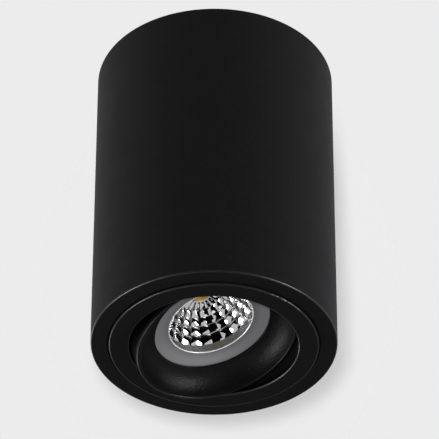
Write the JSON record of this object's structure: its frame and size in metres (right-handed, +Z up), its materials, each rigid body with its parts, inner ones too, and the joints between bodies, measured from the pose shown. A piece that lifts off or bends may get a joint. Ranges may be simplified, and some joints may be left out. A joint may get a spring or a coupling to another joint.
{
  "type": "surface mounted downlight",
  "caption": "Round black surface mounted ceiling downlight: a plain cylinder whose trim insert turns and whose lamp ring tilts to aim a faceted reflector lamp.",
  "frame": {"origin": "on the body's axis in the ceiling plane, at the middle of the ceiling plate's upper face", "axes": "+Z up into the ceiling along the body's axis, -Y towards the picture's viewer, +X to the right in the picture"},
  "size_m": [0.095, 0.095, 0.1381],
  "materials": {
    "black_powder_coat": "matte",
    "zinc_steel": "satin",
    "black_steel": "satin",
    "spring_steel": "satin",
    "black_rubber": "matte",
    "white_plastic": "satin",
    "brass": "satin",
    "earth_insulation": "satin",
    "lead_insulation": "matte",
    "grey_bezel": "satin",
    "reflector_metal": "polished",
    "led_board_white": "matte",
    "led_phosphor": "satin",
    "heat_sink_metal": "satin",
    "circuit_board": "satin",
    "driver_parts": "satin",
    "ceramic": "matte"
  },
  "bodies": {
    "housing": {"body_tube": "black_powder_coat", "ceiling_plate": "zinc_steel", "side_brackets": "zinc_steel", "set_screws": "black_steel", "clinch_nuts": "zinc_steel", "cable_grommet": "black_rubber", "terminal_block": "white_plastic", "terminal_inserts": "brass", "terminal_screws": "zinc_steel", "terminal_block_screw": "zinc_steel", "earth_screw": "zinc_steel", "earth_tag": "brass", "earth_lead": "earth_insulation", "lamp_leads_upper": "lead_insulation"},
    "trim_insert": {"trim_ring": "black_powder_coat", "spring_clips": "spring_steel", "clip_rivets": "zinc_steel", "pivot_pins": "zinc_steel", "friction_washers": "spring_steel"},
    "lamp_ring": {"gimbal_ring": "black_powder_coat", "lamp_circlip": "spring_steel", "lamp_bezel": "grey_bezel", "lamp_reflector": "reflector_metal", "led_board": "led_board_white", "led_emitter": "led_phosphor", "lamp_housing": "heat_sink_metal", "driver_board": "circuit_board", "driver_components": "driver_parts", "lamp_base": "white_plastic", "lamp_pins": "zinc_steel", "lampholder": "ceramic", "lampholder_contacts": "brass", "lamp_leads_lower": "lead_insulation"}
  },
  "joints": [
    {"name": "trim_swivel", "type": "hinge", "parent": "housing", "child": "trim_insert", "pos_m": [0, 0, -0.1228], "axis": [0, 0, 1], "range_deg": [-175, 175]},
    {"name": "gimbal_tilt", "type": "hinge", "parent": "trim_insert", "child": "lamp_ring", "pos_m": [0, 0, -0.1228], "axis": [-0.342, -0.9397, 0], "range_deg": [-42, 8], "deforming": ["lamp_leads_lower"]}
  ]
}
